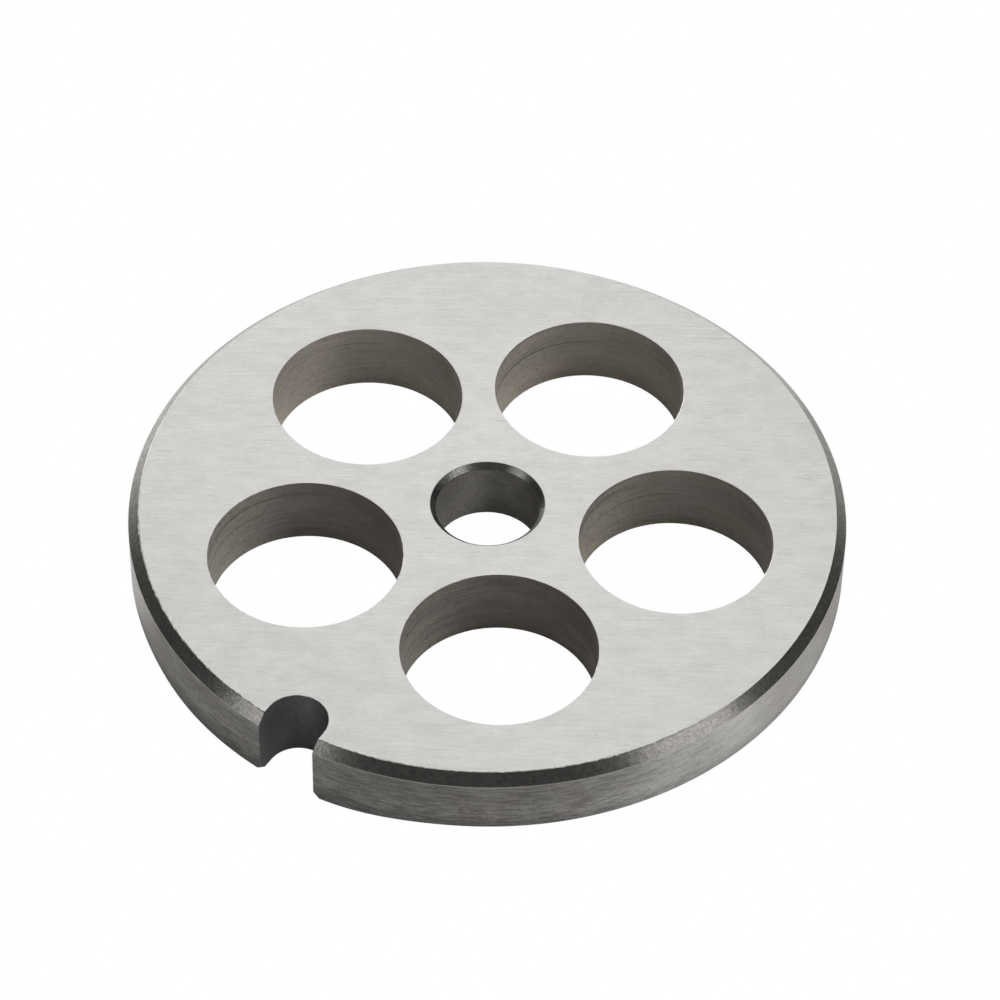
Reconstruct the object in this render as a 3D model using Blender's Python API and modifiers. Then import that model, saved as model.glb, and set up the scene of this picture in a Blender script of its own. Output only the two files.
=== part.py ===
"""A meat grinder plate: a ground steel disc with large feed holes, a centre bore and a key slot.

The plate sits in the ring of a mincer's head. Its knife face is up, the screw's stub shaft runs
in the centre bore, and the key slot in the rim fits over a pin that stops the plate from turning.
Lengths are in metres. The origin is the centre of the underside, and the key slot points along -Y.
"""

import math

import bmesh
import bpy

MM = 0.001

# Feed holes: the ring that they stand on follows from their size and the web between them.
FEED_HOLE_COUNT = 5
FEED_HOLE_DIAMETER = 16.0 * MM
WEB_BETWEEN_HOLES = 2.8 * MM

# Blank: the rim land is the solid ring between the feed holes and the plate's outside.
RIM_LAND = 5.7 * MM
PLATE_THICKNESS = 6.5 * MM
RIM_CHAMFER = 0.85 * MM

# Centre bore, countersunk lightly on the knife face and deeper on the outlet face.
BORE_DIAMETER = 8.6 * MM
KNIFE_FACE_COUNTERSINK = 0.45 * MM
OUTLET_FACE_COUNTERSINK = 0.85 * MM

# Key slot: round at its inner end, with parallel walls out to the rim.
KEY_SLOT_WIDTH = 5.1 * MM
KEY_SLOT_DEPTH = 4.25 * MM

# Facets round each circle, the angle past which an edge stays sharp, and how far cutters overshoot.
RIM_FACETS = 144
FEED_HOLE_FACETS = 72
BORE_FACETS = 64
KEY_SLOT_END_FACETS = 24
CREASE_ANGLE = math.radians(30.0)
CUTTER_OVERSHOOT = 1.0 * MM
WELD_DISTANCE = 0.001 * MM

# Ground carbon steel.
STEEL_COLOUR = (0.61, 0.60, 0.58, 1.0)
STEEL_ROUGHNESS = 0.36

# Worked out from the sizes above.
HALF_STEP = math.pi / FEED_HOLE_COUNT
PITCH_RADIUS = (FEED_HOLE_DIAMETER + WEB_BETWEEN_HOLES) / (2.0 * math.sin(HALF_STEP))
PLATE_RADIUS = PITCH_RADIUS + FEED_HOLE_DIAMETER / 2.0 + RIM_LAND
BORE_RADIUS = BORE_DIAMETER / 2.0
KEY_SLOT_ANGLE = -math.pi / 2.0
KEY_SLOT_END_CENTRE = PLATE_RADIUS - KEY_SLOT_DEPTH + KEY_SLOT_WIDTH / 2.0


def clear_scene():
    """Removes every object that the file opened with."""
    for old in list(bpy.data.objects):
        bpy.data.objects.remove(old, do_unlink=True)


def new_collection(name):
    """Adds a collection to the scene."""
    made = bpy.data.collections.new(name)
    bpy.context.scene.collection.children.link(made)
    return made


def steel():
    """The plate's ground, unplated steel."""
    material = bpy.data.materials.new("ground_steel")
    material.use_nodes = True
    shader = material.node_tree.nodes["Principled BSDF"]
    shader.inputs["Base Color"].default_value = STEEL_COLOUR
    shader.inputs["Metallic"].default_value = 1.0
    shader.inputs["Roughness"].default_value = STEEL_ROUGHNESS
    return material


def add_object(name, mesh, collection):
    """Puts a mesh in a collection as an object of that name."""
    made = bpy.data.objects.new(name, mesh)
    collection.objects.link(made)
    return made


def add_cutter(name, mesh, cutters):
    """Adds a cutting shape, which is drawn as wires and left out of a render."""
    made = add_object(name, mesh, cutters)
    made.hide_render = True
    made.display_type = "WIRE"
    return made


def cylinder_mesh(name, radius, length, facets):
    """A closed cylinder about Z, centred on its own origin."""
    mesh = bpy.data.meshes.new(name)
    shape = bmesh.new()
    bmesh.ops.create_cone(
        shape,
        cap_ends=True,
        segments=facets,
        radius1=radius,
        radius2=radius,
        depth=length,
    )
    shape.to_mesh(mesh)
    shape.free()
    return mesh


def blank(parts):
    """The plain disc, with a 45 degree chamfer round both edges of its rim."""
    mesh = cylinder_mesh("grinder_plate", PLATE_RADIUS, PLATE_THICKNESS, RIM_FACETS)
    shape = bmesh.new()
    shape.from_mesh(mesh)
    rim_edges = [edge for edge in shape.edges if edge.calc_face_angle() > CREASE_ANGLE]
    bmesh.ops.bevel(shape, geom=rim_edges, offset=RIM_CHAMFER, segments=1, affect="EDGES")
    bmesh.ops.translate(shape, verts=shape.verts, vec=(0.0, 0.0, PLATE_THICKNESS / 2.0))
    shape.to_mesh(mesh)
    shape.free()
    return add_object("grinder_plate", mesh, parts)


def feed_hole_cutters(cutters):
    """One straight drill for each feed hole, spaced evenly with the key slot midway between two."""
    through = PLATE_THICKNESS + 2.0 * CUTTER_OVERSHOOT
    drill = cylinder_mesh("feed_hole_drill", FEED_HOLE_DIAMETER / 2.0, through, FEED_HOLE_FACETS)
    for index in range(FEED_HOLE_COUNT):
        angle = KEY_SLOT_ANGLE + HALF_STEP * (2 * index + 1)
        made = add_cutter(f"feed_hole_cutter_{index + 1}", drill, cutters)
        made.location = (
            PITCH_RADIUS * math.cos(angle),
            PITCH_RADIUS * math.sin(angle),
            PLATE_THICKNESS / 2.0,
        )


def bore_profile():
    """The bore tool's half section, from the axis above the plate, down its outside, to the axis."""
    knife_mouth = BORE_RADIUS + KNIFE_FACE_COUNTERSINK + CUTTER_OVERSHOOT
    outlet_mouth = BORE_RADIUS + OUTLET_FACE_COUNTERSINK + CUTTER_OVERSHOOT
    top = PLATE_THICKNESS + CUTTER_OVERSHOOT
    bottom = -CUTTER_OVERSHOOT
    return [
        (0.0, top),
        (knife_mouth, top),
        (BORE_RADIUS, PLATE_THICKNESS - KNIFE_FACE_COUNTERSINK),
        (BORE_RADIUS, OUTLET_FACE_COUNTERSINK),
        (outlet_mouth, bottom),
        (0.0, bottom),
    ]


def bore_cutter(cutters):
    """Turns the bore tool: a reamer with a 45 degree countersink at each face."""
    points = [(radius, 0.0, height) for radius, height in bore_profile()]
    edges = [(index, index + 1) for index in range(len(points) - 1)]
    mesh = bpy.data.meshes.new("bore_cutter")
    mesh.from_pydata(points, edges, [])
    made = add_cutter("bore_cutter", mesh, cutters)
    turn = made.modifiers.new("turn", "SCREW")
    turn.axis = "Z"
    turn.angle = 2.0 * math.pi
    turn.steps = BORE_FACETS
    turn.render_steps = BORE_FACETS
    turn.use_merge_vertices = True
    turn.merge_threshold = WELD_DISTANCE


def key_slot_outline():
    """The slot seen from above: a half round inner end, then straight walls past the rim."""
    half_width = KEY_SLOT_WIDTH / 2.0
    outside = -(PLATE_RADIUS + CUTTER_OVERSHOOT)
    outline = [(-half_width, outside), (half_width, outside)]
    for step in range(KEY_SLOT_END_FACETS + 1):
        angle = math.pi * step / KEY_SLOT_END_FACETS
        outline.append((half_width * math.cos(angle), half_width * math.sin(angle) - KEY_SLOT_END_CENTRE))
    return outline


def key_slot_cutter(cutters):
    """Extrudes the slot's outline through the plate, as a mesh that a Boolean can use."""
    outline = key_slot_outline()
    curve = bpy.data.curves.new("key_slot_outline", "CURVE")
    curve.dimensions = "2D"
    curve.fill_mode = "BOTH"
    curve.extrude = PLATE_THICKNESS / 2.0 + CUTTER_OVERSHOOT
    spline = curve.splines.new("POLY")
    spline.points.add(len(outline) - 1)
    for point, (x, y) in zip(spline.points, outline):
        point.co = (x, y, 0.0, 1.0)
    spline.use_cyclic_u = True
    guide = add_object("key_slot_outline", curve, cutters)
    guide.location.z = PLATE_THICKNESS / 2.0
    bpy.context.view_layer.update()
    graph = bpy.context.evaluated_depsgraph_get()
    mesh = bpy.data.meshes.new_from_object(guide.evaluated_get(graph))
    made = add_cutter("key_slot_cutter", mesh, cutters)
    made.matrix_world = guide.matrix_world
    bpy.data.objects.remove(guide)
    shape = bmesh.new()
    shape.from_mesh(mesh)
    bmesh.ops.remove_doubles(shape, verts=shape.verts, dist=WELD_DISTANCE)
    bmesh.ops.recalc_face_normals(shape, faces=shape.faces)
    shape.to_mesh(mesh)
    shape.free()


def cut(plate, cutters):
    """Cuts the holes and the slot, then keeps every edge past the crease angle sharp."""
    holes = plate.modifiers.new("holes_and_slot", "BOOLEAN")
    holes.operation = "DIFFERENCE"
    holes.operand_type = "COLLECTION"
    holes.collection = cutters
    holes.solver = "EXACT"
    bpy.context.view_layer.update()
    graph = bpy.context.evaluated_depsgraph_get()
    machined = bpy.data.meshes.new_from_object(plate.evaluated_get(graph))
    plate.modifiers.remove(holes)
    plate.data = machined
    machined.name = "grinder_plate"
    machined.shade_smooth()
    machined.set_sharp_from_angle(angle=CREASE_ANGLE)


def main():
    """Builds the plate."""
    clear_scene()
    parts = new_collection("meat_grinder_plate")
    cutters = new_collection("cutters")
    plate = blank(parts)
    feed_hole_cutters(cutters)
    bore_cutter(cutters)
    key_slot_cutter(cutters)
    cut(plate, cutters)
    plate.data.materials.clear()
    plate.data.materials.append(steel())


main()
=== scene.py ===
"""The looks of a meat grinder plate: a ground steel disc with feed holes, a bore and a key slot.

Lengths are in metres. The plate lies with its knife face up, its centre on the origin and its key
slot towards -Y. Headings run anticlockwise from the plate's +X, and bearings in the studio run
clockwise from the camera's line of sight. Finishes, lights and floor patches give them in degrees.
"""

import logging
import math
from collections.abc import Callable, Iterator, Sequence
from contextlib import contextmanager
from dataclasses import dataclass, field
from enum import Enum
from typing import Any

import bmesh
import bpy
from bpy.types import Material, NodeTree, Object
from mathutils import Matrix, Vector


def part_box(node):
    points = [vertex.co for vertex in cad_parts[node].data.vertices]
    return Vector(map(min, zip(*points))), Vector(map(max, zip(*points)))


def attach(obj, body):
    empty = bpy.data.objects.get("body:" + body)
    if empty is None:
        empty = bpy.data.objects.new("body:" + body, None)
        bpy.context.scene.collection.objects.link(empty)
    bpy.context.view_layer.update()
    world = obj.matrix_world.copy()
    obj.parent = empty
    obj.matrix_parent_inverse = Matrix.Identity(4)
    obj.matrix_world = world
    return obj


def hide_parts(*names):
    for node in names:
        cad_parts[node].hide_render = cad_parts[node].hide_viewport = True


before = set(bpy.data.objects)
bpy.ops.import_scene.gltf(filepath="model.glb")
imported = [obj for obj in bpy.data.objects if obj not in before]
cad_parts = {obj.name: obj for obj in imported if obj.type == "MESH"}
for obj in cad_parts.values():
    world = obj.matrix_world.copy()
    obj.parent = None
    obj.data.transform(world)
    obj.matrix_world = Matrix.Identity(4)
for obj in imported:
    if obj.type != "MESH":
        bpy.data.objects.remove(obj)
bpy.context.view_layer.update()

LOG = logging.getLogger("meat_grinder_plate")
MM = 0.001
NODE = "grinder_plate"
WHITE = (1.0, 1.0, 1.0, 1.0)

Colour = tuple[float, float, float]
Span = tuple[float, float]

# Headings of the grinding strokes on both faces, and of the few that run at a slant to them.
STROKES = 31.8
SLANT = 19.0


class Zone(Enum):
    """The plate's machined surfaces, apart from the feed holes, by their place among the finishes."""

    GROUND_FACE = 0
    RIM = 1
    RIM_CHAMFER = 2
    BROKEN_EDGE = 3
    BORE = 4
    COUNTERSINK = 5
    KEY_SLOT = 6


@dataclass(frozen=True)
class Sector:
    """A stretch of a circle, whole round one heading and fading out on both sides of it.

    It is gone where the cosine of the angle from the heading is as low as the first number, and
    whole where it is as high as the second.
    """

    heading: float
    gone: float
    whole: float


# The back of the plate, where the knife face's outer edge is not torn and its broken corner has
# a painted highlight instead of painted shade with painted glints.
CLEAN_SIDE = Sector(95.0, -0.60, -0.25)


@dataclass(frozen=True)
class Marks:
    """One kind of mark in a finish: noise with a grain of its own, whole or cut down to its peaks.

    Features are counted a metre: along the grain, across it and upwards. Circular marks count them
    in a radian of turn and in a metre along the axis, and the third number is how far they lean, in
    radians a metre. Detail is how many finer octaves the noise has, and rough how strong each is
    against the one before. Tone and relief are the marks' weights in the finish's brightness and in
    its surface. Peaks are the noise that becomes 0 and 1.
    """

    kind: str
    features: tuple[float, float, float]
    detail: float = 2.0
    rough: float = 0.5
    tone: float = 0.0
    relief: float = 0.0
    peaks: Span | None = None
    turn: float = 0.0
    circular: bool = False


class Value:
    """A number that varies over a surface, written in expressions that become Math nodes."""

    def __init__(self, graph: "Graph", socket: Any) -> None:
        """Wraps an output socket of one of the graph's nodes."""
        self.graph = graph
        self.socket = socket

    def _math(self, operation: str, first: Any, second: Any) -> "Value":
        """Adds one Math node and returns its result."""
        node = self.graph.node("ShaderNodeMath", {"operation": operation}, {0: first, 1: second})
        return Value(self.graph, node.outputs[0])

    def __add__(self, other: Any) -> "Value":
        """This value plus another."""
        return self._math("ADD", self, other)

    __radd__ = __add__

    def __sub__(self, other: Any) -> "Value":
        """This value less another."""
        return self._math("SUBTRACT", self, other)

    def __rsub__(self, other: Any) -> "Value":
        """Another value less this one."""
        return self._math("SUBTRACT", other, self)

    def __mul__(self, other: Any) -> "Value":
        """This value times another."""
        return self._math("MULTIPLY", self, other)

    def band(self, low: float, high: float, bottom: float = 0.0, top: float = 1.0) -> "Value":
        """This value mapped from one range to another, smoothly and with its ends held.

        Args:
            low: The value that becomes bottom.
            high: The value that becomes top.
            bottom: The result at low.
            top: The result at high.

        Returns:
            The mapped value.
        """
        node = self.graph.node(
            "ShaderNodeMapRange",
            {"interpolation_type": "SMOOTHSTEP", "clamp": True},
            {"Value": self, "From Min": low, "From Max": high, "To Min": bottom, "To Max": top},
        )
        return Value(self.graph, node.outputs["Result"])

    def between(self, low: float, high: float) -> "Value":
        """This value from 0 to 1, stretched to run from low to high."""
        return self * (high - low) + low


class Graph:
    """The nodes of one material."""

    def __init__(self, name: str) -> None:
        """Makes an empty material with its Principled shader.

        Args:
            name: The material's name.
        """
        self.material = bpy.data.materials.new(name)
        self.material.use_nodes = True
        self.tree = self.material.node_tree
        self.shader = self.tree.nodes["Principled BSDF"]

    def node(self, kind: str, settings: dict[str, Any], inputs: dict[Any, Any]) -> Any:
        """Adds a node.

        Args:
            kind: The node's type.
            settings: Its own settings, which are set first.
            inputs: Values or links for its sockets, by name or place.

        Returns:
            The node.
        """
        made = self.tree.nodes.new(kind)
        for key, value in settings.items():
            setattr(made, key, value)
        for key, value in inputs.items():
            self.feed(made.inputs[key], value)
        return made

    def feed(self, socket: Any, value: Any) -> None:
        """Links a socket to a value of the graph, or sets it to a constant.

        Args:
            socket: The input socket.
            value: The value, output socket or constant.
        """
        source = value.socket if isinstance(value, Value) else value
        if isinstance(source, bpy.types.NodeSocket):
            self.tree.links.new(source, socket)
        else:
            socket.default_value = source

    def vector(self, operation: str, *vectors: Any) -> Any:
        """Adds one Vector Math node, with its sockets' values in order."""
        return self.node("ShaderNodeVectorMath", {"operation": operation}, dict(enumerate(vectors)))

    def place(self) -> Any:
        """The surface point in the object's own frame."""
        return self.node("ShaderNodeTexCoord", {}, {}).outputs["Object"]

    def place_about(self, centre: Span, lift: float = 0.0) -> Any:
        """The surface point from another upright axis, lifted so that its marks differ."""
        away = (-centre[0], -centre[1], lift)
        moved = self.node("ShaderNodeMapping", {}, {"Vector": self.place(), "Location": away})
        return moved.outputs[0]

    def stretched(self, point: Any, per_metre: tuple[float, float, float], turn: float) -> Any:
        """A point turned about Z and then scaled, so that a noise read there has a grain.

        Args:
            point: The vector socket to read.
            per_metre: The scale along X, Y and Z, in features a metre.
            turn: The heading of the grain's X.

        Returns:
            The vector socket.
        """
        back = (0.0, 0.0, -math.radians(turn))
        turned = self.node("ShaderNodeMapping", {}, {"Vector": point, "Rotation": back})
        scaled = self.node("ShaderNodeMapping", {}, {"Vector": turned.outputs[0], "Scale": per_metre})
        return scaled.outputs[0]

    def round_axis(self, around: float, along: float, lean: float) -> Any:
        """A seamless point for marks that run round the plate's axis.

        Args:
            around: Features in one radian of turn.
            along: Features a metre along the axis and outwards.
            lean: How far the marks lean, in radians of turn a metre.

        Returns:
            The vector socket.
        """
        unit = self.vector("NORMALIZE", self.flat(self.place()))
        level = self.height() - self.radius()
        leaned = self.node(
            "ShaderNodeVectorRotate",
            {"rotation_type": "Z_AXIS"},
            {"Vector": unit.outputs[0], "Angle": level * lean},
        )
        wide = self.vector("MULTIPLY", leaned.outputs[0], (around, around, around))
        lift = self.node("ShaderNodeCombineXYZ", {}, {2: level * along})
        return self.vector("ADD", wide.outputs[0], lift.outputs[0]).outputs[0]

    def height(self) -> Value:
        """How high the surface point is above the plate's underside."""
        split = self.node("ShaderNodeSeparateXYZ", {}, {0: self.place()})
        return Value(self, split.outputs[2])

    def flat(self, point: Any) -> Any:
        """A point at height 0, as a vector socket."""
        return self.vector("MULTIPLY", point, (1.0, 1.0, 0.0)).outputs[0]

    def radius(self) -> Value:
        """How far the surface point is from the plate's axis."""
        return Value(self, self.vector("LENGTH", self.flat(self.place())).outputs["Value"])

    def facing(self, point: Any, heading: float) -> Value:
        """How nearly a point lies in one direction from the axis that it is counted from.

        Args:
            point: The vector socket.
            heading: The direction.

        Returns:
            The cosine of the angle between them.
        """
        unit = self.vector("NORMALIZE", self.flat(point)).outputs[0]
        angle = math.radians(heading)
        towards = (math.cos(angle), math.sin(angle), 0.0)
        return Value(self, self.vector("DOT_PRODUCT", unit, towards).outputs["Value"])

    def sector(self, sector: Sector, point: Any) -> Value:
        """Whether a point is in a sector round the axis that it is counted from, from 0 to 1."""
        return self.facing(point, sector.heading).band(sector.gone, sector.whole)

    def mark(self, marks: Marks, point: Any) -> Value:
        """Reads one kind of mark.

        Args:
            marks: The marks.
            point: The vector socket to read them at, unless they are circular.

        Returns:
            The noise, spread about 0, or its peaks from 0 to 1.
        """
        if marks.circular:
            place = self.round_axis(*marks.features)
        else:
            place = self.stretched(point, marks.features, marks.turn)
        node = self.node(
            "ShaderNodeTexNoise",
            {"label": marks.kind},
            {"Vector": place, "Scale": 1.0, "Detail": marks.detail, "Roughness": marks.rough},
        )
        noise = Value(self, node.outputs[0])
        return noise.band(*marks.peaks) if marks.peaks else noise - 0.5

    def layers(self, kinds: Sequence[Marks], point: Any) -> tuple[Any, Any]:
        """Lays several kinds of mark over one another.

        Args:
            kinds: The kinds of mark.
            point: The vector socket to read them at.

        Returns:
            Their tone and their relief, each summed by the marks' weights.
        """
        read = [(marks, self.mark(marks, point)) for marks in kinds]
        tone = sum(value * marks.tone for marks, value in read if marks.tone)
        relief = sum(value * marks.relief for marks, value in read if marks.relief)
        return tone, relief

    def tone(self, kinds: Sequence[Marks], point: Any) -> Value:
        """The tone alone of several kinds of mark, laid over one another."""
        return self.layers(kinds, point)[0]

    def tint(self, factor: Any, dark: Any, light: Any) -> Any:
        """A colour between two others.

        Args:
            factor: From 0 for the first colour to 1 for the second.
            dark: The first colour, as a socket or three numbers.
            light: The second colour.

        Returns:
            The colour's socket.
        """
        ends = [(*end, 1.0) if isinstance(end, tuple) else end for end in (dark, light)]
        node = self.node("ShaderNodeMix", {"data_type": "RGBA"}, {0: factor, 6: ends[0], 7: ends[1]})
        return node.outputs[2]

    def bump(self, height: Value, depth: float) -> None:
        """Raises the surface by a height that is given as a share of a depth."""
        node = self.node("ShaderNodeBump", {}, {"Height": height, "Distance": depth})
        self.feed(self.shader.inputs["Normal"], node.outputs[0])

    def steel(self, colour: Any, roughness: Any) -> Material:
        """Feeds the shader as bare metal.

        Args:
            colour: The metal's colour.
            roughness: Its roughness.

        Returns:
            The material.
        """
        self.feed(self.shader.inputs["Metallic"], 1.0)
        self.feed(self.shader.inputs["Base Color"], colour)
        self.feed(self.shader.inputs["Roughness"], roughness)
        return self.material


@dataclass(frozen=True)
class GroundFinish:
    """Both faces: ground in straight strokes, bright, faintly mottled, torn at the rim."""

    edge_radius: float
    dark: Colour = (0.565, 0.558, 0.541)
    light: Colour = (0.695, 0.688, 0.669)
    torn: Colour = (0.24, 0.235, 0.225)
    contrast: float = 0.14
    roughness: float = 0.40
    roughness_spread: float = 0.10
    stroke_depth: float = 0.0022 * MM
    tear_reach: float = 0.32 * MM
    tear_width: float = 0.05 * MM
    clean: Sector = CLEAN_SIDE
    tears: Marks = Marks("tears", (80.0, 0.0, 0.0), circular=True)
    grain: tuple[Marks, ...] = (
        Marks("strokes", (580.0, 4900.0, 1.0), 3.0, 0.68, tone=0.34, relief=1.0, turn=STROKES),
        Marks("drags", (90.0, 6500.0, 1.0), tone=0.13, turn=STROKES),
        Marks("mottle", (420.0, 760.0, 420.0), 3.0, 0.6, tone=0.25, turn=STROKES),
        Marks("flecks", (2300.0, 3400.0, 2300.0), 2.0, 0.7, tone=0.18, turn=STROKES),
        Marks("clouds", (50.0, 90.0, 50.0), tone=0.10, turn=STROKES),
    )
    flaws: tuple[Marks, ...] = (
        Marks("bright strokes", (85.0, 3100.0, 7.0), 0.0, tone=0.30, peaks=(0.70, 0.80), turn=STROKES),
        Marks(
            "scores", (130.0, 3600.0, 3.0), 0.0, 0.5, -0.40, -0.6, peaks=(0.70, 0.80), turn=STROKES
        ),
        Marks(
            "slants", (420.0, 3300.0, 5.0), 0.0, 0.5, -0.45, -0.8, peaks=(0.72, 0.84), turn=SLANT
        ),
        Marks("pits", (2300.0, 2300.0, 2300.0), 0.0, tone=-0.45, relief=-1.2, peaks=(0.78, 0.86)),
    )

    def material(self) -> Material:
        """Makes the finish.

        Returns:
            The material.
        """
        graph = Graph("ground_face")
        point = graph.place()
        grain, strokes = graph.layers(self.grain, point)
        flaws, dents = graph.layers(self.flaws, point)
        reach = graph.radius() + graph.mark(self.tears, point) * self.tear_reach
        edge = reach.band(self.edge_radius - self.tear_width, self.edge_radius)
        tear = edge * (1.0 - graph.sector(self.clean, point))
        graph.bump(strokes + dents, self.stroke_depth)
        factor = grain.band(-self.contrast, self.contrast) + flaws
        colour = graph.tint(tear, graph.tint(factor, self.dark, self.light), self.torn)
        return graph.steel(colour, strokes * self.roughness_spread + self.roughness)


@dataclass(frozen=True)
class TurnedFinish:
    """The rim: turned, with streaks along its length and brownish patches.

    It has a painted highlight round one heading, paler still at its core, and painted shade along
    its foot and along its crown on the shaded side.
    """

    dark: Colour = (0.43, 0.421, 0.406)
    brown: Colour = (0.455, 0.416, 0.372)
    light: Colour = (0.84, 0.822, 0.792)
    # Colours of the painted highlight's core.
    highlight_dark: Colour = (0.55, 0.54, 0.52)
    highlight_light: Colour = (1.0, 0.985, 0.955)
    # Colour of the painted shade on the crown and the foot.
    shadow: Colour = (0.20, 0.196, 0.188)
    contrast: float = 0.13
    roughness: float = 0.44
    roughness_spread: float = 0.10
    streak_depth: float = 0.010 * MM
    # Painted highlight: paler round this heading by its gain, and paler still round the core below.
    painted_highlight: Sector = Sector(-22.0, 0.95, 0.995)
    painted_highlight_gain: float = 0.30
    highlight_blend: Sector = Sector(-22.0, 0.972, 0.998)
    worked: Sector = Sector(-65.0, 0.45, 0.85)
    working: Span = (0.4, 1.0)
    # Painted shade: darker high up on the shaded side, and all round low down.
    shaded: Sector = Sector(-76.0, 0.60, 0.88)
    crown: Span = (2.3 * MM, 4.5 * MM)
    crown_loss: float = 0.34
    foot: Span = (0.9 * MM, 2.2 * MM)
    foot_loss: float = 0.28
    streaks: Marks = Marks(
        "streaks", (17.0, 4900.0, 0.0), 3.0, 0.66, tone=0.66, relief=0.85, circular=True
    )
    patches: Marks = Marks("patches", (12.0, 520.0, 0.0), 3.0, 0.6, tone=0.17, circular=True)
    scuffs: Marks = Marks("scuffs", (4200.0, 4200.0, 4200.0), 1.0, tone=0.17, relief=0.15)
    dashes: tuple[Marks, ...] = (
        Marks("bright dashes", (70.0, 3300.0, 0.0), 0.0, tone=0.22, peaks=(0.68, 0.80), circular=True),
        Marks("dark dashes", (70.0, 3300.0, 0.0), 0.0, tone=-0.28, peaks=(0.32, 0.20), circular=True),
    )
    stain: Marks = Marks("stain", (9.0, 330.0, 0.0), peaks=(0.42, 0.60), circular=True)

    def material(self) -> Material:
        """Makes the finish.

        Returns:
            The material.
        """
        graph = Graph("turned_rim")
        point, height = graph.place(), graph.height()
        grain, relief = graph.layers((self.streaks, self.patches, self.scuffs), point)
        streaking = grain.band(-self.contrast, self.contrast) + graph.tone(self.dashes, point) - 0.5
        worked = graph.sector(self.worked, point).between(*self.working)
        graph.bump(relief * worked, self.streak_depth)
        # The painted highlight is added to the tone here, and its core is mixed in below.
        factor = streaking * worked + graph.sector(self.painted_highlight, point) * self.painted_highlight_gain + 0.5
        highlight_blend = graph.sector(self.highlight_blend, point)
        stained = graph.tint(graph.mark(self.stain, point), self.dark, self.brown)
        dark = graph.tint(highlight_blend, stained, self.highlight_dark)
        light = graph.tint(highlight_blend, self.light, self.highlight_light)
        # Painted shade on the crown and along the foot.
        crown = height.band(*self.crown) * graph.sector(self.shaded, point)
        foot = height.band(*self.foot, 1.0, 0.0)
        shade = crown * self.crown_loss + foot * self.foot_loss
        colour = graph.tint(shade, graph.tint(factor, dark, light), self.shadow)
        patches = graph.mark(self.patches, point)
        return graph.steel(colour, patches * self.roughness_spread + self.roughness)


@dataclass(frozen=True)
class ChamferFinish:
    """The rim's chamfers: cut with a leaning chatter, so that highlights break up."""

    dark: Colour = (0.47, 0.46, 0.435)
    light: Colour = (0.75, 0.725, 0.675)
    contrast: float = 0.16
    roughness: float = 0.22
    chatter_depth: float = 0.010 * MM
    grain: tuple[Marks, ...] = (
        Marks("chatter", (150.0, 2400.0, 12.0), 2.0, 0.6, tone=0.45, circular=True),
        Marks("rings", (12.0, 4200.0, 0.0), tone=0.17, circular=True),
        Marks("scuffs", (3000.0, 3000.0, 3000.0), 1.0, tone=0.38),
    )

    def material(self) -> Material:
        """Makes the finish.

        Returns:
            The material.
        """
        graph = Graph("cut_chamfer")
        grain = graph.tone(self.grain, graph.place())
        graph.bump(grain, self.chatter_depth)
        factor = grain.band(-self.contrast, self.contrast)
        return graph.steel(graph.tint(factor, self.dark, self.light), self.roughness)


@dataclass(frozen=True)
class BrokenEdgeFinish:
    """Broken corners: a painted highlight, but painted shade with painted glints along the knife face.

    The knife face's corner has the painted highlight at the back, dimmed at the left, and the
    bore's corners have painted shade.
    """

    face_height: float
    # Colours of painted shade, painted glints, the painted highlight and a dimmed painted highlight.
    edge_shade: Colour = (0.24, 0.235, 0.225)
    edge_glint: Colour = (0.88, 0.87, 0.85)
    painted_highlight: Colour = (0.95, 0.94, 0.915)
    dimmed_highlight: Colour = (0.40, 0.395, 0.38)
    roughness: float = 0.52
    reach: float = 0.10 * MM
    bore_reach: Span = (6.0 * MM, 7.0 * MM)
    highlight_side: Sector = CLEAN_SIDE
    dimmed_side: Sector = Sector(165.0, 0.60, 0.98)
    variety: Marks = Marks("variety", (1500.0, 1500.0, 1500.0), 3.0, 0.6)
    glinting: Span = (0.02, 0.14)
    highlight_blend: Span = (-0.18, 0.10)

    def material(self) -> Material:
        """Makes the finish.

        Returns:
            The material.
        """
        graph = Graph("broken_edge")
        point = graph.place()
        # Noise that places the painted glints and blends the painted highlights.
        variety = graph.mark(self.variety, point)
        # At the back the knife face's corner gets the painted highlight, dimmed at the left; elsewhere
        # painted shade with painted glints. Lower corners get the painted highlight with painted
        # glints.
        smooth = graph.tint(graph.sector(self.dimmed_side, point), self.painted_highlight, self.dimmed_highlight)
        glinting = graph.tint(variety.band(*self.glinting), self.edge_shade, self.edge_glint)
        upper = graph.tint(graph.sector(self.highlight_side, point), glinting, smooth)
        lower = graph.tint(variety.band(*self.highlight_blend), self.edge_glint, self.painted_highlight)
        top = graph.height().band(self.face_height - 2.0 * self.reach, self.face_height - self.reach)
        # The bore's corners get painted shade.
        bore = graph.radius().band(*self.bore_reach, 1.0, 0.0)
        colour = graph.tint(bore, graph.tint(top, lower, upper), self.edge_shade)
        return graph.steel(colour, self.roughness)


@dataclass(frozen=True)
class WallMarksAndLight:
    """How one feed hole's wall differs from the others.

    The first three are shares: of the pale finish everywhere, of the painted light on the pale
    side, and of the brown stain. The groove is a ring that the drill left, at a height above the
    underside.
    """

    base: float
    paleness: float
    brownness: float
    groove_height: float
    groove_strength: float


# The second column is each hole's share of painted light on its pale side.
HOLE_MARKS_AND_LIGHT = (
    WallMarksAndLight(0.22, 0.46, 0.30, 5.3 * MM, 0.35),
    WallMarksAndLight(0.34, 0.50, 0.60, 3.7 * MM, 0.50),
    WallMarksAndLight(0.42, 0.64, 0.80, 4.2 * MM, 0.70),
    WallMarksAndLight(0.46, 0.74, 0.55, 4.9 * MM, 0.45),
    WallMarksAndLight(0.23, 0.69, 0.20, 5.2 * MM, 0.45),
)


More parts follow.
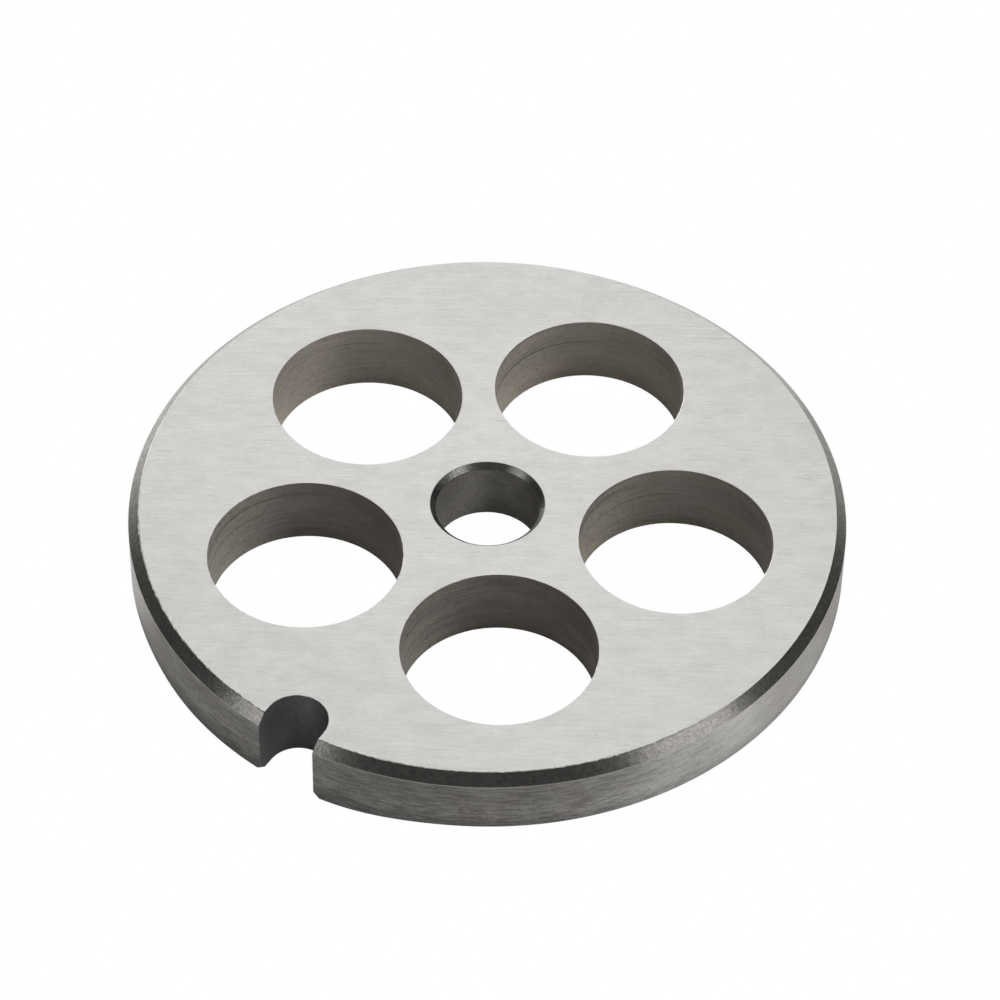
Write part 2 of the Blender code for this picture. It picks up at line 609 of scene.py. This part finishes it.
@dataclass(frozen=True)
class DrilledFinish:
    """One feed hole's wall: drilled, brown grey, rougher on one side, with painted light on that
    side, a painted glint on the side across from it, and painted shade low down and higher up on
    another side.

    The shares of speckle, scars and soot are given away from the pale side and on it.
    """

    number: int
    centre: tuple[float, float]
    variety: WallMarksAndLight
    dark: Colour = (0.345, 0.322, 0.300)
    dark_brown: Colour = (0.358, 0.327, 0.288)
    light: Colour = (0.96, 0.905, 0.845)
    light_brown: Colour = (0.97, 0.897, 0.80)
    soot: Colour = (0.16, 0.148, 0.135)
    roughness: float = 0.55
    line_depth: float = 0.030 * MM
    mark_relief: float = 0.6
    grit_relief: float = 0.1
    groove_width: float = 0.09 * MM
    marks_apart: float = 31.0 * MM
    # Painted light on the pale side, a painted glint across from it, and painted shade higher up.
    pale: Sector = Sector(200.0, 0.3, 1.0)
    glint: Sector = Sector(20.0, 0.55, 1.0)
    glint_gain: float = 0.12
    shaded: Sector = Sector(40.0, -0.2, 0.8)
    shaded_heights: Span = (1.5 * MM, 5.0 * MM)
    shade_loss: float = 0.20
    grooved: Sector = Sector(165.0, 0.5, 0.9)
    # Painted shade along the foot.
    foot: Span = (0.1 * MM, 1.4 * MM)
    foot_loss: float = 0.05
    speckling: Span = (0.25, 0.75)
    scarring: Span = (0.12, 0.92)
    scar_heights: Span = (2.0 * MM, 4.5 * MM)
    scar_shares: Span = (0.6, 1.0)
    sooting: Span = (0.14, 0.30)
    speckle: Marks = Marks("speckle", (2900.0, 2900.0, 2900.0), 2.0, 0.70)
    grain: tuple[Marks, ...] = (
        Marks("tool lines", (130.0, 130.0, 3000.0), 3.0, 0.70, tone=0.52),
        Marks("blotches", (330.0, 330.0, 620.0), 3.0, 0.6, tone=0.30),
    )
    scars: tuple[Marks, ...] = (
        Marks("scored rings", (60.0, 60.0, 3000.0), 1.0, tone=0.42, peaks=(0.56, 0.68)),
        Marks("pits", (1700.0, 1700.0, 3300.0), 0.0, tone=0.50, peaks=(0.72, 0.82)),
    )
    stain: Marks = Marks("stain", (260.0, 260.0, 520.0), 3.0, 0.6, peaks=(0.32, 0.68))
    grit: Marks = Marks("grit", (1900.0, 1900.0, 5600.0), 2.0, 0.7, peaks=(0.46, 0.72))

    def groove(self, graph: Graph, point: Any) -> Value:
        """The ring that the drill left in the wall.

        Args:
            graph: The wall's nodes.
            point: The surface point, counted from the hole's axis.

        Returns:
            How much of the groove is at the point.
        """
        middle, height = self.variety.groove_height, graph.height()
        below = height.band(middle - self.groove_width, middle)
        above = height.band(middle, middle + self.groove_width, 1.0, 0.0)
        return below * above * graph.sector(self.grooved, point) * self.variety.groove_strength

    def material(self) -> Material:
        """Makes the finish.

        Returns:
            The material.
        """
        graph = Graph(f"drilled_wall_{self.number}")
        point = graph.place_about(self.centre, self.marks_apart * self.number)
        height, variety = graph.height(), self.variety
        pale = graph.sector(self.pale, point)
        speckle = graph.mark(self.speckle, point) * pale.between(*self.speckling)
        grain = speckle + graph.tone(self.grain, point)
        scars = graph.tone(self.scars, point) * pale.between(*self.scarring)
        marks = self.groove(graph, point) + scars * height.band(*self.scar_heights, *self.scar_shares)
        # The painted glint, painted shade and painted light go into the tone here.
        glint = graph.sector(self.glint, point) * self.glint_gain
        foot = height.band(*self.foot, 1.0, 0.0) * self.foot_loss
        shade = graph.sector(self.shaded, point) * height.band(*self.shaded_heights) * self.shade_loss
        factor = grain - marks + pale * variety.paleness + glint - foot - shade + variety.base
        brown = graph.mark(self.stain, point) * variety.brownness
        dark = graph.tint(brown, self.dark, self.dark_brown)
        light = graph.tint(brown, self.light, self.light_brown)
        grit = graph.mark(self.grit, point)
        graph.bump(grain - marks * self.mark_relief - grit * self.grit_relief, self.line_depth)
        sooty = grit * pale.between(*self.sooting)
        colour = graph.tint(sooty, graph.tint(factor, dark, light), self.soot)
        return graph.steel(colour, self.roughness)


@dataclass(frozen=True)
class ReamedFinish:
    """The centre bore: reamed smooth, greyer than the feed holes, paler on one side with painted
    light, and painted shade along its foot.

    The shares of speckle and grit are given away from the pale side and on it. A countersink
    gets painted shade both ways along one heading, by the square of the cosine from it.
    """

    name: str = "reamed_bore"
    base: float = 0.06
    paleness: float = 0.94
    dark: Colour = (0.36, 0.347, 0.33)
    light: Colour = (0.97, 0.94, 0.90)
    soot: Colour = (0.14, 0.135, 0.128)
    roughness: float = 0.45
    line_depth: float = 0.018 * MM
    # Painted light on the pale side.
    pale: Sector = Sector(200.0, 0.0, 0.72)
    # Painted shade: on a countersink's sides along this heading, and along the foot.
    side_heading: float = 31.8
    sides: Span = (0.5, 0.95)
    side_loss: float = 0.0
    foot: Span = (0.9 * MM, 3.0 * MM)
    foot_loss: float = 0.24
    speckling: Span = (0.3, 1.2)
    gritty: Span = (-0.16, 0.10)
    gritting: Span = (0.05, 0.19)
    speckle: Marks = Marks("speckle", (4200.0, 4200.0, 5600.0), 2.0, 0.80)
    grain: tuple[Marks, ...] = (
        Marks("tool lines", (5.0, 3200.0, 0.0), 3.0, tone=0.35, circular=True),
        Marks("blotches", (700.0, 700.0, 700.0), tone=0.4),
    )

    def material(self) -> Material:
        """Makes the finish.

        Returns:
            The material.
        """
        graph = Graph(self.name)
        point = graph.place()
        pale = graph.sector(self.pale, point)
        speckle = graph.mark(self.speckle, point)
        grain = speckle * pale.between(*self.speckling) + graph.tone(self.grain, point)
        graph.bump(grain, self.line_depth)
        side = graph.facing(point, self.side_heading)
        sides = (side * side).band(*self.sides) * self.side_loss
        foot = graph.height().band(*self.foot, 1.0, 0.0) * self.foot_loss
        factor = grain + pale * self.paleness + self.base - foot - sides
        grit = speckle.band(*self.gritty, 1.0, 0.0) * pale.between(*self.gritting)
        colour = graph.tint(grit, graph.tint(factor, self.dark, self.light), self.soot)
        return graph.steel(colour, self.roughness)


# The countersink, with painted shade on its two sides.
COUNTERSUNK = ReamedFinish(
    name="countersunk_edge",
    base=0.64,
    paleness=0.0,
    dark=(0.18, 0.175, 0.167),
    light=(0.84, 0.82, 0.785),
    roughness=0.26,
    side_loss=0.55,
)


@dataclass(frozen=True)
class MilledFinish:
    """The key slot: milled through, dark, with fine streaks that run from face to face, and painted
    light on one side.
    """

    centre: tuple[float, float]
    dark: Colour = (0.27, 0.263, 0.267)
    light: Colour = (0.62, 0.607, 0.606)
    contrast: float = 0.8
    roughness: float = 0.50
    streak_depth: float = 0.008 * MM
    # Painted light on the slot's pale side.
    pale: Sector = Sector(200.0, 0.2, 1.0)
    paleness: Span = (0.16, 0.90)
    grain: tuple[Marks, ...] = (
        Marks("streaks", (4600.0, 4600.0, 200.0), 2.0, 0.55, tone=0.65),
        Marks("speckle", (2600.0, 2600.0, 2600.0), tone=0.35),
    )

    def material(self) -> Material:
        """Makes the finish.

        Returns:
            The material.
        """
        graph = Graph("milled_slot")
        grain = graph.tone(self.grain, graph.place())
        graph.bump(grain, self.streak_depth)
        pale = graph.sector(self.pale, graph.place_about(self.centre)).between(*self.paleness)
        colour = graph.tint(grain * self.contrast + pale, self.dark, self.light)
        return graph.steel(colour, self.roughness)


def select_only(piece: Object) -> None:
    """Makes one object the active and only selected one.

    Args:
        piece: The object.
    """
    bpy.ops.object.select_all(action="DESELECT")
    piece.select_set(True)
    bpy.context.view_layer.objects.active = piece


@contextmanager
def edit_mode(piece: Object) -> Iterator[None]:
    """Opens a mesh in edit mode with nothing selected, and closes it afterwards.

    Args:
        piece: The object to edit.
    """
    select_only(piece)
    bpy.ops.object.mode_set(mode="EDIT")
    bpy.ops.mesh.select_all(action="DESELECT")
    yield
    bpy.ops.object.mode_set(mode="OBJECT")


def pick(piece: Object, kind: str, wanted: Callable[[Any], bool]) -> None:
    """Selects the elements of the open mesh that pass a test, and nothing else.

    Args:
        piece: The object, in edit mode.
        kind: The kind of element: edges or faces.
        wanted: The test.
    """
    shape = bmesh.from_edit_mesh(piece.data)
    bpy.context.tool_settings.mesh_select_mode = (False, kind == "edges", kind == "faces")
    elements = shape.edges if kind == "edges" else shape.faces
    for element in elements:
        element.select_set(False)
    for element in elements:
        if wanted(element):
            element.select_set(True)
    bmesh.update_edit_mesh(piece.data)


def cylinder(
    name: str, radius: float, length: float, centre: tuple[float, float, float], facets: int
) -> Object:
    """Adds a closed cylinder about Z whose place is in its mesh.

    Args:
        name: The object's name.
        radius: Its radius.
        length: Its height.
        centre: The middle of its axis.
        facets: How many sides it has.

    Returns:
        The object.
    """
    bpy.ops.mesh.primitive_cylinder_add(
        vertices=facets, radius=radius, depth=length, location=centre
    )
    made = bpy.context.active_object
    made.name = name
    made.data.name = name
    bpy.ops.object.transform_apply()
    return made


# Cosines that tell faces apart: of a tool's end face to an axis, of a level face to the plate's
# axis, the slack that an upright face or a chamfer is allowed, and that of a chamfer.
SQUARE = 0.99
LEVEL = 0.999
TILT_SLACK = 0.02
CHAMFER_TILT = math.sqrt(0.5)


@dataclass
class GrinderPlate:
    """The plate, modelled as it is machined: blank, chamfers, holes, bore, slot, broken edges.

    The outlet chamfer is shallow by a share round one heading: fully up to one angle from it, and
    not at all past the other.
    """

    radius: float
    thickness: float
    rim_chamfer: float = 0.85 * MM
    feed_hole_count: int = 5
    feed_hole_diameter: float = 16.0 * MM
    rim_land: float = 5.7 * MM
    bore_diameter: float = 8.6 * MM
    knife_countersink: float = 0.45 * MM
    outlet_countersink: float = 0.85 * MM
    slot_width: float = 5.1 * MM
    slot_depth: float = 4.25 * MM
    broken_edge: float = 0.05 * MM
    crease_angle: float = math.radians(30.0)
    overshoot: float = 1.0 * MM
    weld_distance: float = 0.045 * MM
    shallow_heading: float = math.radians(-96.0)
    shallow_share: float = 0.65
    shallow_full: float = math.radians(14.0)
    shallow_end: float = math.radians(32.0)
    right_corner_loss: float = 0.34 * MM
    left_corner_loss: float = 0.20 * MM
    rim_facets: int = 360
    hole_facets: int = 160
    bore_facets: int = 120
    slot_facets: int = 96
    finishes: dict[Zone, Material] = field(default_factory=dict)
    hole_finishes: list[Material] = field(default_factory=list)

    @property
    def pitch_radius(self) -> float:
        """How far the feed holes' centres are from the axis."""
        return self.radius - self.rim_land - self.feed_hole_diameter / 2.0

    @property
    def slot_end(self) -> float:
        """How far the centre of the slot's round end is from the axis."""
        return self.radius - self.slot_depth + self.slot_width / 2.0

    def hole_centres(self) -> list[Vector]:
        """Places the feed holes, with the key slot midway between the first and the last.

        Returns:
            Their centres.
        """
        step = 2.0 * math.pi / self.feed_hole_count
        start = -math.pi / 2.0 + step / 2.0
        angles = [start + step * index for index in range(self.feed_hole_count)]
        return [Vector((math.cos(angle), math.sin(angle))) * self.pitch_radius for angle in angles]

    def blank(self) -> Object:
        """Turns the disc and chamfers both edges of its rim, the lower one unevenly.

        Returns:
            The disc.
        """
        middle = (0.0, 0.0, self.thickness / 2.0)
        disc = cylinder("ground_plate", self.radius, self.thickness, middle, self.rim_facets)
        with edit_mode(disc):
            pick(
                disc,
                "edges",
                lambda edge: edge.calc_face_angle(0.0) > self.crease_angle
                and edge.verts[0].co.z > self.thickness / 2.0,
            )
            bpy.ops.mesh.bevel(offset=self.rim_chamfer, affect="EDGES")
        weights = disc.data.attributes.new("bevel_weight_edge", "FLOAT", "EDGE")
        for edge in disc.data.edges:
            ends = [disc.data.vertices[index].co for index in edge.vertices]
            if max(end.z for end in ends) < self.overshoot:
                weights.data[edge.index].value = self.chamfer_share((ends[0] + ends[1]) / 2.0)
        chamfering = disc.modifiers.new("outlet_chamfer", "BEVEL")
        chamfering.width = self.rim_chamfer
        chamfering.limit_method = "WEIGHT"
        select_only(disc)
        bpy.ops.object.modifier_apply(modifier=chamfering.name)
        return disc

    def chamfer_share(self, place: Vector) -> float:
        """How much of the outlet chamfer is left at one place: it runs shallow round the key slot.

        Args:
            place: The place on the rim's lower edge.

        Returns:
            Its share of the full chamfer, from 0 to 1.
        """
        middle = Vector((math.cos(self.shallow_heading), math.sin(self.shallow_heading)))
        away = middle.angle(place.xy)
        step = (away - self.shallow_full) / (self.shallow_end - self.shallow_full)
        step = min(max(step, 0.0), 1.0)
        return 1.0 - self.shallow_share * (1.0 - step * step * (3.0 - 2.0 * step))

    def feed_drill(self, index: int, centre: Vector) -> Object:
        """Makes the drill of one feed hole.

        Args:
            index: The hole's number.
            centre: Its centre.

        Returns:
            The drill.
        """
        length = self.thickness + 2.0 * self.overshoot
        place = (centre.x, centre.y, self.thickness / 2.0)
        radius = self.feed_hole_diameter / 2.0
        return cylinder(f"feed_drill_{index}", radius, length, place, self.hole_facets)

    def flare(self, tool: Object, height: float, up: float, rise: float) -> None:
        """Extrudes the bore tool's end into a 45 degree countersink that runs past the plate.

        Args:
            tool: The bore tool, in edit mode.
            height: The height of its end face.
            up: 1 for the upper end and -1 for the lower one.
            rise: How far the flare reaches along the axis.
        """
        pick(tool, "faces", lambda face: face.normal.z * up > SQUARE)
        bpy.ops.mesh.extrude_region_move(TRANSFORM_OT_translate={"value": (0.0, 0.0, up * rise)})
        radius = self.bore_diameter / 2.0
        spread = (radius + rise) / radius
        bpy.ops.transform.resize(
            value=(spread, spread, 1.0), center_override=(0.0, 0.0, height + up * rise)
        )

    def bore_tool(self) -> Object:
        """Makes the reamer with its two countersinks.

        Returns:
            The tool.
        """
        top = self.thickness - self.knife_countersink
        bottom = self.outlet_countersink
        middle = (0.0, 0.0, (top + bottom) / 2.0)
        tool = cylinder("bore_tool", self.bore_diameter / 2.0, top - bottom, middle, self.bore_facets)
        with edit_mode(tool):
            self.flare(tool, top, 1.0, self.knife_countersink + self.overshoot)
            self.flare(tool, bottom, -1.0, self.outlet_countersink + self.overshoot)
        return tool

    def slot_cutter(self) -> Object:
        """Makes the key slot's cutter: half a cylinder, drawn out past the rim.

        Returns:
            The tool.
        """
        length = self.thickness + 2.0 * self.overshoot
        centre = (0.0, -self.slot_end, self.thickness / 2.0)
        tool = cylinder("slot_cutter", self.slot_width / 2.0, length, centre, self.slot_facets)
        with edit_mode(tool):
            bpy.ops.mesh.select_all(action="SELECT")
            bpy.ops.mesh.bisect(
                plane_co=centre, plane_no=(0.0, -1.0, 0.0), use_fill=True, clear_outer=True
            )
            pick(tool, "faces", lambda face: face.normal.y < -SQUARE)
            reach = self.radius + self.overshoot - self.slot_end
            bpy.ops.mesh.extrude_region_move(TRANSFORM_OT_translate={"value": (0.0, -reach, 0.0)})
        return tool

    def corner_block(self, side: float, loss: float) -> Object:
        """Makes the block that takes one of the key slot's lower corners off.

        Args:
            side: 1 for the corner on the +X side of the slot and -1 for the other.
            loss: How deep the corner is taken off.

        Returns:
            The block.
        """
        outward = Vector((-side, -1.0, -1.0)).normalized()
        beside = self.slot_width / 2.0
        share = self.chamfer_share(Vector((0.0, -self.radius, 0.0)))
        edge = math.sqrt(self.radius * self.radius - beside * beside)
        corner = Vector((side * beside, -edge, self.rim_chamfer * share))
        bpy.ops.mesh.primitive_cube_add(
            size=2.0 * self.overshoot,
            location=corner + outward * (self.overshoot - loss),
            rotation=outward.to_track_quat("Z", "Y").to_euler(),
        )
        block = bpy.context.active_object
        block.name = "corner_block"
        bpy.ops.object.transform_apply()
        return block

    def weld(self, plate: Object) -> None:
        """Joins corners that the cuts left closer together than an edge can be broken.

        Args:
            plate: The plate.
        """
        with edit_mode(plate):
            bpy.ops.mesh.select_all(action="SELECT")
            bpy.ops.mesh.remove_doubles(threshold=self.weld_distance)
            bpy.ops.mesh.select_all(action="SELECT")
            bpy.ops.mesh.normals_make_consistent(inside=False)

    def cut(self, plate: Object, tool: Object) -> None:
        """Takes a tool's shape out of the plate and puts the tool away.

        Args:
            plate: The plate.
            tool: The tool.
        """
        cutting = plate.modifiers.new("cut", "BOOLEAN")
        cutting.operation = "DIFFERENCE"
        cutting.solver = "EXACT"
        cutting.object = tool
        select_only(plate)
        bpy.ops.object.modifier_apply(modifier=cutting.name)
        bpy.data.objects.remove(tool, do_unlink=True)

    def break_edges(self, plate: Object) -> None:
        """Takes the razor edge off every corner, as a pass with a stone does.

        Args:
            plate: The plate.
        """
        stoning = plate.modifiers.new("broken_edges", "BEVEL")
        stoning.width = self.broken_edge
        stoning.segments = 2
        stoning.limit_method = "ANGLE"
        stoning.angle_limit = self.crease_angle
        stoning.harden_normals = True
        select_only(plate)
        bpy.ops.object.shade_smooth()
        bpy.ops.object.modifier_apply(modifier=stoning.name)

    def slot_of(self, centre: Vector, normal: Vector) -> int:
        """Says which finish a face takes, by its middle and its outward direction.

        Args:
            centre: The face's middle.
            normal: Its outward direction.

        Returns:
            The finish's place among the material slots.
        """
        out, tilt = math.hypot(centre.x, centre.y), abs(normal.z)
        sloped = abs(tilt - CHAMFER_TILT) < TILT_SLACK
        if tilt > LEVEL:
            return Zone.GROUND_FACE.value
        if tilt > TILT_SLACK and not sloped:
            return Zone.BROKEN_EDGE.value
        if out < self.bore_diameter / 2.0 + self.overshoot:
            return (Zone.COUNTERSINK if sloped else Zone.BORE).value
        if sloped:
            return Zone.RIM_CHAMFER.value
        for index, hole in enumerate(self.hole_centres()):
            if (centre.xy - hole).length < self.feed_hole_diameter / 2.0 + self.broken_edge:
                return len(Zone) + index
        inside = out < self.radius - self.broken_edge
        return (Zone.KEY_SLOT if inside else Zone.RIM).value

    def dress(self, plate: Object) -> None:
        """Gives each surface its finish.

        Args:
            plate: The plate.
        """
        plate.data.materials.clear()
        for finish in [self.finishes[zone] for zone in Zone] + self.hole_finishes:
            plate.data.materials.append(finish)
        for polygon in plate.data.polygons:
            polygon.material_index = self.slot_of(polygon.center, polygon.normal)

    def make(self) -> Object:
        """Machines and dresses the plate.

        Returns:
            The finished plate.
        """
        plate = self.blank()
        for index, centre in enumerate(self.hole_centres(), start=1):
            self.cut(plate, self.feed_drill(index, centre))
        self.cut(plate, self.bore_tool())
        self.cut(plate, self.slot_cutter())
        self.cut(plate, self.corner_block(1.0, self.right_corner_loss))
        self.cut(plate, self.corner_block(-1.0, self.left_corner_loss))
        self.weld(plate)
        self.break_edges(plate)
        self.dress(plate)
        return plate


def studio_heading(bearing: float, view_azimuth: float) -> float:
    """The heading of a bearing that is counted from the camera's azimuth."""
    return math.radians(90.0 - bearing) + view_azimuth


@dataclass(frozen=True)
class SoftBox:
    """A soft box aimed at the plate, with its bearing and elevation in degrees."""

    name: str
    bearing: float
    elevation: float
    power: float
    size: float = 0.25
    away: float = 0.60

    def hang(self, view_azimuth: float) -> None:
        """Adds the light.

        Args:
            view_azimuth: The camera's azimuth, which bearings are counted from.
        """
        data = bpy.data.lights.new(self.name, "AREA")
        data.size = self.size
        data.energy = self.power
        light = bpy.data.objects.new(self.name, data)
        bpy.context.scene.collection.objects.link(light)
        heading = studio_heading(self.bearing, view_azimuth)
        rise = math.radians(self.elevation)
        towards = Vector(
            (math.cos(heading) * math.cos(rise), math.sin(heading) * math.cos(rise), math.sin(rise))
        )
        light.location = towards * self.away
        light.rotation_euler = towards.to_track_quat("Z", "Y").to_euler()


@dataclass(frozen=True)
class FloorGlow:
    """A round patch of floor that looks brighter to the steel, in full and then fading to its end."""

    bearing: float
    strength: float
    away: float = 36.0 * MM
    full: float = 6.0 * MM
    end: float = 13.0 * MM

    def factor(self, graph: Graph, view_azimuth: float) -> Value:
        """How bright the patch is at each point of the floor.

        Args:
            graph: The floor's nodes.
            view_azimuth: The camera's azimuth, which the bearing is counted from.

        Returns:
            The brightness, from 0 to the patch's strength.
        """
        heading = studio_heading(self.bearing, view_azimuth)
        middle = (math.cos(heading) * self.away, math.sin(heading) * self.away, 0.0)
        gap = Value(graph, graph.vector("DISTANCE", graph.place(), middle).outputs["Value"])
        return gap.band(self.full, self.end, self.strength, 0.0)


def show_camera(tree: NodeTree, lit: Any, white: Any, output: str) -> None:
    """Shows the camera one shader and the steel another.

    Args:
        tree: The node tree.
        lit: The shader node that the steel sees.
        white: The shader node that the camera sees.
        output: The name of the tree's output.
    """
    ray = tree.nodes.new("ShaderNodeLightPath")
    mix = tree.nodes.new("ShaderNodeMixShader")
    tree.links.new(ray.outputs["Is Camera Ray"], mix.inputs[0])
    tree.links.new(lit.outputs[0], mix.inputs[1])
    tree.links.new(white.outputs[0], mix.inputs[2])
    tree.links.new(mix.outputs[0], tree.nodes[output].inputs["Surface"])


@dataclass
class Studio:
    """A pale floor, soft boxes and the camera.

    The framing is how far the plate's centre is right of and below the middle of the view.
    """

    view_azimuth: float = math.radians(31.783)
    view_elevation: float = math.radians(46.775)
    view_roll: float = math.radians(-1.049)
    lens: float = 158.06
    distance: float = 367.615 * MM
    framing: tuple[float, float] = (-1.103 * MM, 4.738 * MM)
    room: float = 0.047
    floor_size: float = 4.0
    # Floor colours of the painted pool of light, far off and near the plate.
    floor_far: Colour = (0.36, 0.36, 0.355)
    floor_near: Colour = (0.80, 0.80, 0.79)
    boxes: tuple[SoftBox, ...] = (
        SoftBox("low_back_box", -30.0, 12.0, 1.98),
        SoftBox("back_fill", 0.0, 30.0, 0.10),
        SoftBox("back_box", -2.0, 50.0, 0.326),
        SoftBox("right_back_fill", 30.0, 50.0, 0.045),
        SoftBox("right_back_box", 60.0, 50.0, 0.76, size=0.40),
        SoftBox("low_right_box", 120.0, 14.0, 0.29),
        SoftBox("right_kicker", 120.0, 40.0, 0.112),
        SoftBox("left_kicker", -120.0, 30.0, 0.11),
        SoftBox("low_front_box", 180.0, 10.0, 0.14, size=0.30),
        SoftBox("top_box", 180.0, 85.0, 0.19),
    )
    glows: tuple[FloorGlow, ...] = (
        FloorGlow(-90.0, 0.47),
        FloorGlow(88.0, 0.19),
        FloorGlow(120.0, 0.30),
        FloorGlow(150.0, 0.11),
        FloorGlow(36.0, 0.32, away=42.0 * MM, full=6.0 * MM, end=15.0 * MM),
        FloorGlow(-50.0, 0.28, away=50.0 * MM, full=8.0 * MM, end=20.0 * MM),
    )
    # The painted pool of light round the plate.
    pool: FloorGlow = FloorGlow(-90.0, 1.0, away=16.0 * MM, full=55.0 * MM, end=125.0 * MM)

    def camera(self) -> None:
        """Adds the camera at the photograph's viewing angle."""
        data = bpy.data.cameras.new("camera")
        data.lens = self.lens
        data.clip_start = 1.0 * MM
        camera = bpy.data.objects.new("camera", data)
        bpy.context.scene.collection.objects.link(camera)
        sine, cosine = math.sin(self.view_elevation), math.cos(self.view_elevation)
        right = Vector((1.0, 0.0, 0.0))
        down = Vector((0.0, -sine, -cosine))
        ahead = Vector((0.0, cosine, -sine))
        roll_sine, roll_cosine = math.sin(self.view_roll), math.cos(self.view_roll)
        across = right * roll_cosine + down * roll_sine
        under = down * roll_cosine - right * roll_sine
        place = -(across * self.framing[0] + under * self.framing[1] + ahead * self.distance)
        axes = Matrix((across, -under, -ahead)).transposed().to_4x4()
        turn = Matrix.Rotation(self.view_azimuth, 4, "Z")
        camera.matrix_world = turn @ Matrix.Translation(place) @ axes
        bpy.context.scene.camera = camera

    def floor(self) -> None:
        """Lays the floor: white to the camera, and to the steel a painted pool of light with brighter
        patches.
        """
        bpy.ops.mesh.primitive_plane_add(size=self.floor_size)
        floor = bpy.context.active_object
        floor.name = "floor"
        graph = Graph("pale_floor")
        graph.tree.nodes.remove(graph.shader)
        # The painted pool of light: the floor is paler near the plate and darker far off.
        pool = self.pool.factor(graph, self.view_azimuth)
        pale = graph.tint(pool, self.floor_far, self.floor_near)
        matt = graph.node("ShaderNodeBsdfDiffuse", {}, {"Color": pale})
        white = graph.node("ShaderNodeEmission", {}, {"Color": WHITE})
        glow = sum(patch.factor(graph, self.view_azimuth) for patch in self.glows)
        shaders = {0: glow, 1: matt.outputs[0], 2: white.outputs[0]}
        lit = graph.node("ShaderNodeMixShader", {}, shaders)
        show_camera(graph.tree, lit, white, "Material Output")
        floor.data.materials.append(graph.material)

    def world(self) -> None:
        """Fills the room with dim grey that looks pale behind the floor."""
        world = bpy.data.worlds.new("studio")
        bpy.context.scene.world = world
        world.use_nodes = True
        nodes = world.node_tree.nodes
        nodes["Background"].inputs[0].default_value = (self.room, self.room, self.room, 1.0)
        backdrop = nodes.new("ShaderNodeBackground")
        backdrop.inputs[0].default_value = WHITE
        show_camera(world.node_tree, nodes["Background"], backdrop, "World Output")

    def make(self) -> None:
        """Sets the whole studio up."""
        bpy.context.scene.view_settings.view_transform = "Standard"
        self.floor()
        self.world()
        for box in self.boxes:
            box.hang(self.view_azimuth)
        self.camera()


def main() -> None:
    """Builds the plate and the studio, and reports each."""
    logging.basicConfig(level=logging.INFO, format="%(message)s")
    low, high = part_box(NODE)
    plate = GrinderPlate(radius=high.x, thickness=high.z - low.z)
    face_radius = plate.radius - plate.rim_chamfer - plate.broken_edge
    plate.finishes = {
        Zone.GROUND_FACE: GroundFinish(face_radius).material(),
        Zone.RIM: TurnedFinish().material(),
        Zone.RIM_CHAMFER: ChamferFinish().material(),
        Zone.BROKEN_EDGE: BrokenEdgeFinish(plate.thickness).material(),
        Zone.BORE: ReamedFinish().material(),
        Zone.COUNTERSINK: COUNTERSUNK.material(),
        Zone.KEY_SLOT: MilledFinish((0.0, -plate.slot_end)).material(),
    }
    plate.hole_finishes = [
        DrilledFinish(number, (centre.x, centre.y), variety).material()
        for number, (centre, variety) in enumerate(zip(plate.hole_centres(), HOLE_MARKS_AND_LIGHT), start=1)
    ]
    piece = plate.make()
    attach(piece, "root")
    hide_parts(NODE)
    faces, pitch = len(piece.data.polygons), plate.pitch_radius / MM
    LOG.info("%s: %d faces, pitch radius %.3f mm", piece.name, faces, pitch)
    Studio().make()
    LOG.info("studio ready")


if __name__ == "__main__":
    main()
